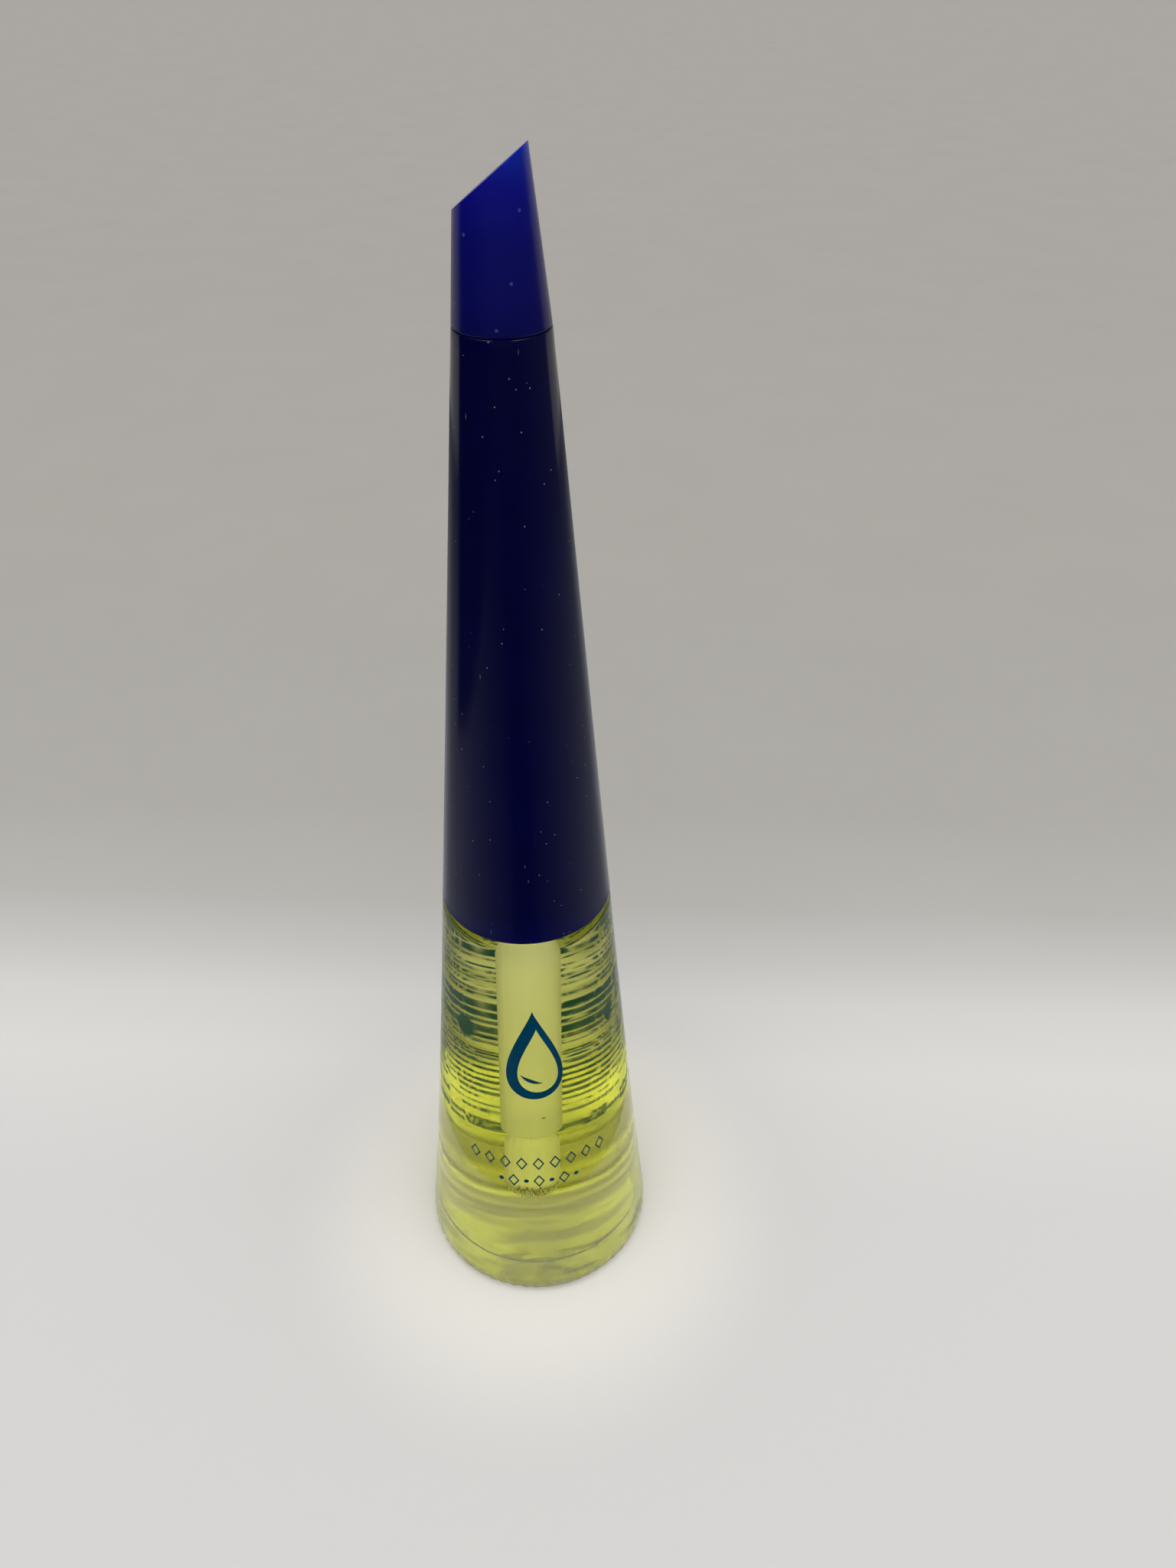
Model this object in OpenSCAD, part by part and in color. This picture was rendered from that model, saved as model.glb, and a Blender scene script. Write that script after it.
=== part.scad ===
// Brush-cap oil bottle: a flared cone of thick clear glass with a threaded neck,
// filled with oil, and a long conical cap that carries the applicator brush.
// Millimetres. +Z is up. The origin is the centre of the standing ring.

/* [Glass bottle] */
// Greatest outside diameter, just above the rounded heel
base_d = 28; // [27.6:0.1:28.6]
// Outside diameter half way up the glass cone
mid_d = 22.6; // [22.4:0.1:23]
// Outside diameter at the height of the cap's rim
rim_d = 17.82; // [17.7:0.02:18.2]
// Height of the cap's rim
rim_z = 56.1; // [55.8:0.1:56.6]
// Radius of the rounded shoulder
shoulder_r = 2.6; // [2.5:0.05:2.8]
// Thickness of the side wall
wall_t = 1.9; // [1.8:0.1:2.3]
// Thickness of the floor near its edge
floor_t = 3; // [2.6:0.1:3.6]
// Height of the hollow under the base
punt_h = 0.9; // [0.6:0.1:1.2]

/* [Neck] */
// Outside diameter of the neck between the threads
neck_d = 9.8; // [9.7:0.05:9.9]
// Outside diameter over the neck's thread
thread_d = 11.2; // [11:0.05:11.3]
// Bore of the neck
bore_d = 6.6; // [6.2:0.1:7]
// Height of the lip
lip_z = 67; // [66.8:0.1:67.2]
// Rise of the thread in one turn
pitch = 2.1; // [2:0.05:2.2]

/* [Overcap] */
// Outside diameter half way up the overcap
overcap_mid_d = 12.82; // [12.7:0.02:13]
// Outside diameter at the seam with the tip
seam_d = 7.9; // [7.8:0.02:8.2]
// Height of the seam with the tip
seam_z = 114; // [112:0.5:116]
// Wall thickness of the overcap
overcap_t = 1; // [0.95:0.01:1.05]

/* [Tip] */
// Height of the point above the seam
tip_high = 12.6; // [11:0.1:14]
// Height of the low side of the slanted cut above the seam
tip_low = 8.1; // [7:0.1:9]
// Lost radius for each millimetre of height
tip_taper = 0.1; // [0.08:0.005:0.12]
// Direction of the point about the axis, in degrees from +X
tip_turn = -10.5; // [-180:0.5:180]

/* [Brush] */
// Stem diameter below the flange
stem_top_d = 4.2; // [4.1:0.05:4.6]
// Stem diameter at its lower end
stem_end_d = 4; // [3.85:0.05:4.1]
// Height of the stem's lower end
stem_end_z = 21; // [18:0.5:26]
// Height of the bristles' lower end
tuft_tip_z = 8.4; // [7.4:0.1:10]
// Greatest diameter of the tuft
tuft_d = 3.7; // [3.4:0.1:3.8]
// Direction of the staple about the axis, in degrees from +X
staple_turn = -65; // [-180:5:180]

/* [Label and oil] */
// Lower edge of the rear label
label_low = 8; // [6:1:14]
// Height of the rear label
label_h = 44; // [36:1:45]
// Angle that the rear label covers
label_sweep = 156; // [120:2:170]
// Height of the oil's surface
oil_z = 56.4; // [56:0.1:60]

/* [Hidden] */
$fn = 96;

// --- colours
glass_c = [0.86, 0.92, 0.9, 0.35];
oil_c = [0.86, 0.84, 0.22, 0.6];
navy_c = [0.02, 0.02, 0.16];
blue_c = [0.02, 0.04, 0.42];
milky_c = [0.9, 0.9, 0.84];

// --- helpers
// value at x of the parabola through three points
function par3(x, a, b, c) =
    a[1] * (x - b[0]) * (x - c[0]) / ((a[0] - b[0]) * (a[0] - c[0]))
  + b[1] * (x - a[0]) * (x - c[0]) / ((b[0] - a[0]) * (b[0] - c[0]))
  + c[1] * (x - a[0]) * (x - b[0]) / ((c[0] - a[0]) * (c[0] - b[0]));
// points along an ellipse's arc
function arc(cx, cy, rx, ry, a0, a1, n) =
    [for (i = [0:n]) let (a = a0 + (a1 - a0) * i / n) [cx + rx * cos(a), cy + ry * sin(a)]];

// --- glass profile
heel_z = 1.5;
heel_w = 1.2;
function glass_r(z) = par3(z, [heel_z, base_d / 2],
    [(heel_z + rim_z) / 2, mid_d / 2], [rim_z, rim_d / 2]);
// one body point every 2 mm between the heel and the shoulder
body_n = 26;
shoulder_z = rim_z - 1.35;
function body_z(i) = heel_z + (shoulder_z - heel_z) * i / body_n;
shoulder_tilt = atan(-(glass_r(shoulder_z + 0.5) - glass_r(shoulder_z - 0.5)));
shoulder_cx = glass_r(shoulder_z) - shoulder_r * cos(shoulder_tilt);
shoulder_cz = shoulder_z - shoulder_r * sin(shoulder_tilt);
shoulder_top = shoulder_cz + shoulder_r;

// cavity: rounded floor corner, wall parallel to the outside, rounded inner shoulder
corner_r = 2.8;
function cavity_r(z) = glass_r(z) - wall_t;
cav_z0 = floor_t + corner_r;
cav_z1 = 52;
inner_shoulder_rx = cavity_r(cav_z1) - bore_d / 2;
inner_shoulder_rz = 3.6;
cav_n = 20;
function cav_z(i) = cav_z0 + (cav_z1 - cav_z0) * i / cav_n;

// the wall of the cavity from the neck down to the floor's centre
cavity_line = concat(
    arc(bore_d / 2, cav_z1, inner_shoulder_rx, inner_shoulder_rz, 90, 12, 10),
    [for (i = [cav_n:-1:0]) [cavity_r(cav_z(i)), cav_z(i)]],
    arc(cavity_r(cav_z0) - corner_r, cav_z0, corner_r, corner_r, -8, -82, 8),
    [[cavity_r(cav_z0) - corner_r - 0.4, floor_t], [4, floor_t + 0.35], [0, floor_t + 0.5]]);

// --- threads: a ridge that climbs right-handed and fades at both ends
ring_n = 36;
function fade(t) = max(0.02, min(1, min(t, 1 - t) * 9));
// r0 is buried in the wall, r1 is the crest; w0 and w1 are the widths there
module ridge(r0, rw, r1, w0, w1, z0, a0, turns) {
    n = ceil(ring_n * turns);
    pts = [for (i = [0:n]) let (t = i / n, a = a0 + 360 * turns * t,
               z = z0 + pitch * turns * t, k = fade(t), rc = rw + (r1 - rw) * k,
               h0 = w0 / 2 * (0.5 + 0.5 * k), h1 = w1 / 2 * (0.5 + 0.5 * k),
               q = [[r0, z - h0], [rc, z - h1], [rc, z + h1], [r0, z + h0]])
           for (j = [0:3]) [q[j][0] * cos(a), q[j][0] * sin(a), q[j][1]]];
    inward = r1 < r0;
    side = [for (i = [0:n - 1]) for (j = [0:3]) let (a = 4 * i + j, b = 4 * i + (j + 1) % 4)
            each (inward ? [[a, a + 4, b], [b, a + 4, b + 4]] : [[a, b, a + 4], [b, b + 4, a + 4]])];
    ends = inward ? [[0, 1, 2], [0, 2, 3], [4 * n, 4 * n + 2, 4 * n + 1], [4 * n, 4 * n + 3, 4 * n + 2]]
                  : [[0, 2, 1], [0, 3, 2], [4 * n, 4 * n + 1, 4 * n + 2], [4 * n, 4 * n + 2, 4 * n + 3]];
    polyhedron(points = pts, faces = concat(side, ends), convexity = 6);
}
thread_z = 60.3;
thread_turns = 1.5;
closure_turns = 1.1;

module glass_bottle() {
    nr = neck_d / 2;
    br = bore_d / 2;
    punt_r = 11;
    outer = concat(
        // hollow under the base, then the flat standing ring
        [for (i = [0:8]) let (x = punt_r * i / 8) [x, punt_h * (1 - pow(x / punt_r, 2))]],
        [[base_d / 2 - heel_w, 0]],
        arc(base_d / 2 - heel_w, heel_z, heel_w, heel_z, -80, -10, 7),
        [for (i = [0:body_n]) [glass_r(body_z(i)), body_z(i)]],
        arc(shoulder_cx, shoulder_cz, shoulder_r, shoulder_r, shoulder_tilt + 7, 90, 12),
        // root fillet, neck and rounded lip
        arc(nr + 0.5, shoulder_top + 0.5, 0.5, 0.5, 270, 180, 4),
        arc(nr - 0.4, lip_z - 0.4, 0.4, 0.4, 0, 90, 4),
        arc(br + 0.3, lip_z - 0.3, 0.3, 0.3, 90, 180, 4));
    color(glass_c) union() {
        rotate_extrude() polygon(concat(outer, cavity_line));
        ridge(nr - 0.3, nr, thread_d / 2, 1.15, 0.55, thread_z, 0, thread_turns);
    }
}

// Oil up to the neck, with a round channel that the brush travels in
module oil_fill() {
    gap = 0.02;
    color(oil_c) difference() {
        rotate_extrude() polygon(concat(
            [[0, oil_z], [bore_d / 2 - gap, oil_z]],
            [for (p = cavity_line) [max(0, p[0] - gap), p[1] + (p[1] < cav_z0 ? gap : 0)]]));
        translate([0, 0, tuft_tip_z - 0.8]) cylinder(d = stem_top_d + 0.4, h = oil_z);
    }
}

// Clear film on the back half of the glass cone
module rear_label() {
    n = 22;
    film = 0.08;
    gap = 0.03;
    zz = [for (i = [0:n]) label_low + label_h * i / n];
    color([0.8, 0.86, 0.82, 0.4])
        rotate([0, 0, 90 - label_sweep / 2])
            rotate_extrude(angle = label_sweep)
                polygon(concat(
                    [for (z = zz) [glass_r(z) + gap, z]],
                    [for (i = [n:-1:0]) [glass_r(zz[i]) + gap + film, zz[i]]]));
}

washer_t = 0.9;
flange_z = lip_z + washer_t;
flange_t = 1;
spigot_z = flange_z + flange_t + 4;

// Flat ring between the glass lip and the stem's flange
module seal_washer() {
    color("white") translate([0, 0, lip_z + 0.01]) difference() {
        cylinder(r = neck_d / 2 - 0.05, h = washer_t - 0.02);
        translate([0, 0, -1]) cylinder(d = stem_top_d + 0.3, h = washer_t + 2);
    }
}

// Rod with a flange and a spigot above it, and a socket for the bristles below
socket_r = 1.45;
socket_h = 4.2;
staple_z = stem_end_z + 3.5;
module brush_stem() {
    st = stem_top_d / 2;
    se = stem_end_d / 2;
    color(milky_c) difference() {
        rotate_extrude() polygon(concat(
            [[0, stem_end_z]],
            arc(se - 0.35, stem_end_z + 0.35, 0.35, 0.35, 270, 355, 4),
            [[st, 56], [st, flange_z],
             [4.7, flange_z], [4.7, flange_z + flange_t],
             [2.6, flange_z + flange_t], [2.6, spigot_z - 0.5], [2.1, spigot_z], [0, spigot_z]]));
        translate([0, 0, stem_end_z - 1]) cylinder(r = socket_r, h = socket_h + 1);
        translate([0, 0, staple_z]) rotate([0, 0, staple_turn]) rotate([0, 90, 0])
            cylinder(r = 0.25, h = 8, center = true, $fn = 24);
    }
}

// Folded bundle of filaments: straight in the socket, slightly flared below it
module bristle_tuft() {
    tr = tuft_d / 2;
    color([0.9, 0.9, 0.86]) difference() {
        rotate_extrude() polygon(concat(
            [[0, stem_end_z + socket_h - 0.05], [socket_r - 0.03, stem_end_z + socket_h - 0.05],
             [socket_r - 0.03, stem_end_z], [socket_r + 0.16, stem_end_z - 1.5], [tr - 0.06, stem_end_z - 4.5],
             [tr, stem_end_z - 7.5]],
            arc(0, tuft_tip_z + 2.2, tr - 0.02, 2.2, -8, -90, 8)));
        translate([0, 0, staple_z]) rotate([0, 0, staple_turn]) rotate([0, 90, 0])
            cylinder(r = 0.25, h = 8, center = true, $fn = 24);
    }
}

// Wire through the folded bundle, its ends flush with the stem
module bristle_staple() {
    len = 2 * (stem_end_d / 2 + 0.02);
    color("silver") translate([0, 0, staple_z]) rotate([0, 0, staple_turn]) rotate([0, 90, 0])
        cylinder(r = 0.22, h = len, center = true, $fn = 24);
}

// --- overcap profile
function overcap_r(z) = par3(z, [rim_z, rim_d / 2],
    [(rim_z + seam_z) / 2, overcap_mid_d / 2], [seam_z, seam_d / 2]);
closure_low = rim_z + 1.6;
closure_top = flange_z + flange_t + 1.4;

// Threaded inner cap: skirt, top plate, socket for the stem's spigot and grip ribs
module inner_closure() {
    fit = 0.04;
    rib = 0.35;
    skin = [for (i = [0:6]) let (z = closure_low + (closure_top - closure_low) * i / 6)
            [overcap_r(z) - overcap_t - fit - rib, z]];
    bore_r = thread_d / 2 + 0.15;
    ceiling = flange_z + flange_t + 0.05;
    color([0.93, 0.93, 0.9]) union() {
        rotate_extrude() polygon(concat(
            [[bore_r + 0.25, closure_low]], skin,
            [[4.1, closure_top], [4, spigot_z + 0.9], [3.7, spigot_z + 1.2], [0, spigot_z + 1.2],
             [0, spigot_z + 0.2], [2.65, spigot_z + 0.2], [2.65, ceiling],
             [bore_r - 0.25, ceiling], [bore_r, ceiling - 0.3], [bore_r, closure_low + 0.25]]));
        ridge(bore_r + 0.25, bore_r, neck_d / 2 + 0.2, 1.05, 0.5, thread_z - pitch / 2, 20, closure_turns);
        // ribs that key it into the overcap
        for (k = [0:11]) rotate([0, 0, 30 * k]) rotate([90, 0, 0])
            linear_extrude(height = 0.7, center = true)
                polygon(concat(
                    [for (i = [0:6]) [skin[i][0] + rib * 0.94, skin[i][1]]],
                    [[skin[6][0] - 0.25, skin[6][1]], [skin[0][0] - 0.25, skin[0][1]]]));
    }
}

// Long hollow cone; its bevelled lip sits over the glass shoulder
module overcap() {
    n = 28;
    h = seam_z - rim_z;
    lip_in = shoulder_cx + sqrt(pow(shoulder_r, 2) - pow(rim_z - shoulder_cz, 2)) + 0.1;
    bevel_z = rim_z + 0.95;
    top_in = seam_z - 2.2;
    m = 20;
    color(navy_c) rotate_extrude() polygon(concat(
        [[lip_in, rim_z], [rim_d / 2 - 0.22, rim_z], [rim_d / 2 - 0.06, rim_z + 0.09]],
        [for (i = [0:n]) let (z = rim_z + 0.28 + (h - 0.46) * i / n) [overcap_r(z), z]],
        [[seam_d / 2 - 0.16, seam_z], [2.25, seam_z], [2.25, top_in]],
        [for (i = [m:-1:0]) let (z = bevel_z + (top_in - 0.6 - bevel_z) * i / m)
            [overcap_r(z) - overcap_t, z]]));
}

// Solid tip with a slanted cut and a spigot that fills the overcap's open top
module cap_tip() {
    r_hi = seam_d / 2 - tip_taper * tip_high;
    r_lo = seam_d / 2 - tip_taper * tip_low;
    slant = atan2(tip_high - tip_low, r_hi + r_lo);
    z0 = seam_z + tip_high;
    top = tip_high + 2;
    color(blue_c) difference() {
        rotate_extrude() polygon([
            [0, seam_z - 3.2], [1.9, seam_z - 3.2], [2.22, seam_z - 2.9], [2.22, seam_z + 0.02],
            [seam_d / 2 - 0.16, seam_z + 0.02], [seam_d / 2 - 0.02, seam_z + 0.16],
            [seam_d / 2 - tip_taper * top, seam_z + top], [0, seam_z + top]]);
        rotate([0, 0, tip_turn]) translate([r_hi, 0, z0]) rotate([0, -slant, 0])
            translate([-30, -20, 0]) cube([60, 40, 30]);
    }
}

glass_bottle();
oil_fill();
rear_label();
seal_washer();
brush_stem();
bristle_tuft();
bristle_staple();
inner_closure();
overcap();
cap_tip();
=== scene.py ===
import math
import random

import bmesh
import bpy
from mathutils import Matrix, Vector


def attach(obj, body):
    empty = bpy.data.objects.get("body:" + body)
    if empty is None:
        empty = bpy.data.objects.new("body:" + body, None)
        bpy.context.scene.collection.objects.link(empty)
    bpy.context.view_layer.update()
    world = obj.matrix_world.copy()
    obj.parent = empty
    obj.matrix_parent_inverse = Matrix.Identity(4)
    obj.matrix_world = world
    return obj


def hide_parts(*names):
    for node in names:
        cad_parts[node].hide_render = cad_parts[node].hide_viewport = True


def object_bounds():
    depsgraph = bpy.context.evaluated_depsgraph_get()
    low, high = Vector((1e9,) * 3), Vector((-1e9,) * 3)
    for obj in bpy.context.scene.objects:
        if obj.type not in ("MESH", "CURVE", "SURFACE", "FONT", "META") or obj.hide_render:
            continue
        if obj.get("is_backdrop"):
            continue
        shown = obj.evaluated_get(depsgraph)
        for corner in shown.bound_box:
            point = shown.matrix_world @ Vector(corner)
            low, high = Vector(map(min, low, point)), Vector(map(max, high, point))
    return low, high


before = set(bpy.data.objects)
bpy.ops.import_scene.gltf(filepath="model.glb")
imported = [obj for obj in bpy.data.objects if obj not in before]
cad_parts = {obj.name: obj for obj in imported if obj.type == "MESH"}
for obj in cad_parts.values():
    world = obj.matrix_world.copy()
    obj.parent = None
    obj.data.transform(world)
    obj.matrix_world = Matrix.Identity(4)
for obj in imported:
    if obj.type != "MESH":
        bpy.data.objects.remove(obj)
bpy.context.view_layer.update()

MM = 0.001

# ---------------------------------------------------------------- dimensions (mm), as in the CAD model
BASE_R, MID_R, RIM_R, RIM_Z = 14.0, 11.3, 8.91, 56.1
HEEL_Z, HEEL_W = 1.5, 1.2
SHOULDER_R, WALL, FLOOR, PUNT = 2.6, 1.9, 3.0, 0.9
NECK_R, THREAD_R, BORE_R, LIP_Z, PITCH = 4.9, 5.6, 3.3, 67.0, 2.1
THREAD_Z, TURNS = 60.3, 1.5
SEAM_Z, SEAM_R, OVERMID_R, OVER_T = 114.0, 3.95, 6.41, 1.0
TIP_HIGH, TIP_LOW, TAPER, TIP_TURN = 12.6, 8.1, 0.1, -10.5
STEM_TOP_R, STEM_END_R, STEM_END_Z = 2.1, 2.0, 21.0
TUFT_Z, TUFT_R, SOCKET_R, SOCKET_H = 8.4, 1.85, 1.45, 4.2
LABEL_LOW, LABEL_H, LABEL_SWEEP = 8.0, 44.0, 156.0
OIL_Z = 56.4
FLANGE_Z = 67.9


def par3(x, a, b, c):
    return (a[1] * (x - b[0]) * (x - c[0]) / ((a[0] - b[0]) * (a[0] - c[0]))
            + b[1] * (x - a[0]) * (x - c[0]) / ((b[0] - a[0]) * (b[0] - c[0]))
            + c[1] * (x - a[0]) * (x - b[0]) / ((c[0] - a[0]) * (c[0] - b[0])))


def glass_r(z):
    return par3(z, (HEEL_Z, BASE_R), ((HEEL_Z + RIM_Z) / 2, MID_R), (RIM_Z, RIM_R))


def overcap_r(z):
    return par3(z, (RIM_Z, RIM_R), ((RIM_Z + SEAM_Z) / 2, OVERMID_R), (SEAM_Z, SEAM_R))


def cavity_r(z):
    return glass_r(z) - WALL


def arc(cx, cz, rx, rz, a0, a1, n):
    return [(cx + rx * math.cos(math.radians(a0 + (a1 - a0) * i / n)),
             cz + rz * math.sin(math.radians(a0 + (a1 - a0) * i / n))) for i in range(n + 1)]


def smooth(x, a, b):
    t = min(1.0, max(0.0, (x - a) / (b - a)))
    return t * t * (3 - 2 * t)


# ---------------------------------------------------------------- mesh helpers
def finish_mesh(name, verts, faces, mats, body, sharp=35.0, face_mat=None, smooth_all=True):
    """A mesh object in metres from millimetre vertices, riding on a body."""
    me = bpy.data.meshes.new(name)
    me.from_pydata([(x * MM, y * MM, z * MM) for x, y, z in verts], [], faces)
    me.update()
    for m in mats:
        me.materials.append(m)
    if face_mat is not None:
        me.polygons.foreach_set("material_index", face_mat)
    if smooth_all:
        me.polygons.foreach_set("use_smooth", [True] * len(me.polygons))
        me.set_sharp_from_angle(angle=math.radians(sharp))
    ob = bpy.data.objects.new(name, me)
    bpy.context.scene.collection.objects.link(ob)
    if body:
        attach(ob, body)
    return ob


def lathe_data(prof, seg, closed=False, disp=None):
    """Vertices, faces and each face's profile row. prof runs so that the solid is on its left."""
    verts, rows = [], []
    for i, (r, z) in enumerate(prof):
        if r < 1e-6:
            rows.append([len(verts)])
            verts.append((0.0, 0.0, z))
            continue
        row = []
        for j in range(seg):
            a = 2 * math.pi * j / seg
            rr, zz = (r, z) if disp is None else disp(r, z, a, i)
            row.append(len(verts))
            verts.append((rr * math.cos(a), rr * math.sin(a), zz))
        rows.append(row)
    faces, face_row = [], []
    pairs = [(i, i + 1) for i in range(len(rows) - 1)]
    if closed:
        pairs.append((len(rows) - 1, 0))
    for i, k in pairs:
        A, B = rows[i], rows[k]
        for j in range(seg):
            n = (j + 1) % seg
            if len(A) == 1 and len(B) == 1:
                continue
            if len(A) == 1:
                faces.append((A[0], B[n], B[j]))
            elif len(B) == 1:
                faces.append((A[j], A[n], B[0]))
            else:
                faces.append((A[j], A[n], B[n], B[j]))
            face_row.append(i)
    return verts, faces, face_row


def lathe(name, prof, seg, mats, body, closed=False, disp=None, sharp=35.0, row_mat=None):
    v, f, fr = lathe_data(prof, seg, closed, disp)
    fm = [row_mat(prof, r) for r in fr] if row_mat else None
    return finish_mesh(name, v, f, mats, body, sharp, fm)


# ---------------------------------------------------------------- materials
def material(name):
    m = bpy.data.materials.new(name)
    m.use_nodes = True
    nt = m.node_tree
    b = nt.nodes["Principled BSDF"]
    out = nt.nodes["Material Output"]
    return m, nt, b, out


def node(nt, kind, **props):
    n = nt.nodes.new(kind)
    for k, v in props.items():
        setattr(n, k, v)
    return n


def coords(nt):
    return node(nt, "ShaderNodeTexCoord").outputs["Object"]


def noise(nt, vec, scale, detail=3.0, rough=0.5, kind="FBM"):
    n = node(nt, "ShaderNodeTexNoise", noise_dimensions="3D")
    n.inputs["Scale"].default_value = scale
    n.inputs["Detail"].default_value = detail
    n.inputs["Roughness"].default_value = rough
    nt.links.new(vec, n.inputs["Vector"])
    return n.outputs["Fac"]


def ramp(nt, fac, stops, mode="LINEAR"):
    r = node(nt, "ShaderNodeValToRGB")
    r.color_ramp.interpolation = mode
    els = r.color_ramp.elements
    while len(els) > 1:
        els.remove(els[0])
    els[0].position, els[0].color = stops[0][0], (*stops[0][1], 1) if len(stops[0][1]) == 3 else stops[0][1]
    for p, c in stops[1:]:
        e = els.new(p)
        e.color = (*c, 1) if len(c) == 3 else c
    nt.links.new(fac, r.inputs["Fac"])
    return r.outputs["Color"]


def maprange(nt, val, a, b, c, d, clamp=True, kind="LINEAR"):
    n = node(nt, "ShaderNodeMapRange", interpolation_type=kind, clamp=clamp)
    n.inputs["From Min"].default_value = a
    n.inputs["From Max"].default_value = b
    n.inputs["To Min"].default_value = c
    n.inputs["To Max"].default_value = d
    nt.links.new(val, n.inputs["Value"])
    return n.outputs["Result"]


def math_node(nt, op, a, b=None, c=None):
    n = node(nt, "ShaderNodeMath", operation=op)
    for i, v in enumerate((a, b, c)):
        if v is None:
            continue
        if isinstance(v, (int, float)):
            n.inputs[i].default_value = v
        else:
            nt.links.new(v, n.inputs[i])
    return n.outputs[0]


def rgba_mix(nt, fac, a, b, blend="MIX"):
    """Colour mix through the RGBA sockets of a Mix node."""
    n = node(nt, "ShaderNodeMix", data_type="RGBA", blend_type=blend)
    fs, sa, sb = n.inputs[0], n.inputs[6], n.inputs[7]
    for sock, v in ((fs, fac), (sa, a), (sb, b)):
        if isinstance(v, (int, float)):
            sock.default_value = v
        elif isinstance(v, tuple):
            sock.default_value = (*v, 1)
        else:
            nt.links.new(v, sock)
    return n.outputs[2]


def bump(nt, height, strength, distance):
    n = node(nt, "ShaderNodeBump")
    n.inputs["Strength"].default_value = strength
    n.inputs["Distance"].default_value = distance
    nt.links.new(height, n.inputs["Height"])
    return n.outputs["Normal"]


def glass_material(name, ior, wavy=True, rough=0.0, scale=260.0, strength=0.06, dist=0.00005, tint=(0.985, 0.995, 0.985)):
    m, nt, b, out = material(name)
    b.inputs["Base Color"].default_value = (*tint, 1)
    b.inputs["Roughness"].default_value = rough
    b.inputs["IOR"].default_value = ior
    b.inputs["Transmission Weight"].default_value = 1.0
    if wavy:
        co = coords(nt)
        h = noise(nt, co, scale, 2.0, 0.45)
        nt.links.new(bump(nt, h, strength, dist), b.inputs["Normal"])
    return m


def oil_material():
    m, nt, b, out = material("yellow_oil")
    b.inputs["Base Color"].default_value = (1, 1, 1, 1)
    b.inputs["Roughness"].default_value = 0.0
    b.inputs["IOR"].default_value = 1.0
    b.inputs["Specular IOR Level"].default_value = 0.5
    b.inputs["Transmission Weight"].default_value = 1.0
    v = node(nt, "ShaderNodeVolumeAbsorption")
    v.inputs["Color"].default_value = (0.93, 0.934, 0.15, 1)
    v.inputs["Density"].default_value = 94.0
    nt.links.new(v.outputs["Volume"], out.inputs["Volume"])
    return m


def navy_material():
    m, nt, b, out = material("navy_gloss")
    co = coords(nt)
    # a trace of uneven depth in the moulded colour
    var = noise(nt, co, 90.0, 4.0, 0.6)
    base = ramp(nt, var, [(0.3, (0.0003, 0.0004, 0.0190)), (0.7, (0.0005, 0.0007, 0.0250))])
    # painted light: a brighter, deeper blue near the lip, where light reaches it
    sep = node(nt, "ShaderNodeSeparateXYZ")
    nt.links.new(co, sep.inputs[0])
    lip = maprange(nt, sep.outputs["Z"], 0.0562, 0.0600, 1.0, 0.0, kind="SMOOTHSTEP")
    base = rgba_mix(nt, math_node(nt, "MULTIPLY", lip, 0.8), base, (0.0007, 0.0014, 0.036))
    # dust: sparse pale specks, and short hairline scratches
    vo = node(nt, "ShaderNodeTexVoronoi", feature="F1", distance="EUCLIDEAN")
    vo.inputs["Scale"].default_value = 1500.0
    vo.inputs["Randomness"].default_value = 1.0
    nt.links.new(co, vo.inputs["Vector"])
    dot = maprange(nt, vo.outputs["Distance"], 0.05, 0.11, 1.0, 0.0)
    pick = node(nt, "ShaderNodeTexWhiteNoise", noise_dimensions="3D")
    nt.links.new(vo.outputs["Position"], pick.inputs["Vector"])
    few = math_node(nt, "GREATER_THAN", pick.outputs["Value"], 0.80)
    speck = math_node(nt, "MULTIPLY", dot, few)
    stretch = node(nt, "ShaderNodeMapping")
    stretch.inputs["Rotation"].default_value = (0.5, 0.35, 0.9)
    stretch.inputs["Scale"].default_value = (1.0, 1.0, 0.15)
    nt.links.new(co, stretch.inputs["Vector"])
    vs = node(nt, "ShaderNodeTexVoronoi", feature="F1", distance="EUCLIDEAN")
    vs.inputs["Scale"].default_value = 1500.0
    vs.inputs["Randomness"].default_value = 1.0
    nt.links.new(stretch.outputs["Vector"], vs.inputs["Vector"])
    line = maprange(nt, vs.outputs["Distance"], 0.03, 0.08, 1.0, 0.0)
    pick2 = node(nt, "ShaderNodeTexWhiteNoise", noise_dimensions="3D")
    nt.links.new(vs.outputs["Position"], pick2.inputs["Vector"])
    scratch = math_node(nt, "MULTIPLY", line, math_node(nt, "GREATER_THAN", pick2.outputs["Value"], 0.85))
    marks = math_node(nt, "MINIMUM", math_node(nt, "ADD", speck, math_node(nt, "MULTIPLY", scratch, 0.5)), 1.0)
    base = rgba_mix(nt, math_node(nt, "MULTIPLY", marks, 0.6), base, (0.24, 0.24, 0.29))
    nt.links.new(base, b.inputs["Base Color"])
    smear = noise(nt, co, 55.0, 5.0, 0.65)
    rough = maprange(nt, smear, 0.35, 0.75, 0.10, 0.20)
    rough = math_node(nt, "ADD", rough, math_node(nt, "MULTIPLY", marks, 0.4))
    nt.links.new(rough, b.inputs["Roughness"])
    b.inputs["IOR"].default_value = 1.5
    fine = noise(nt, co, 700.0, 3.0, 0.6)
    nt.links.new(bump(nt, fine, 0.05, 0.00002), b.inputs["Normal"])
    return m


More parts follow.
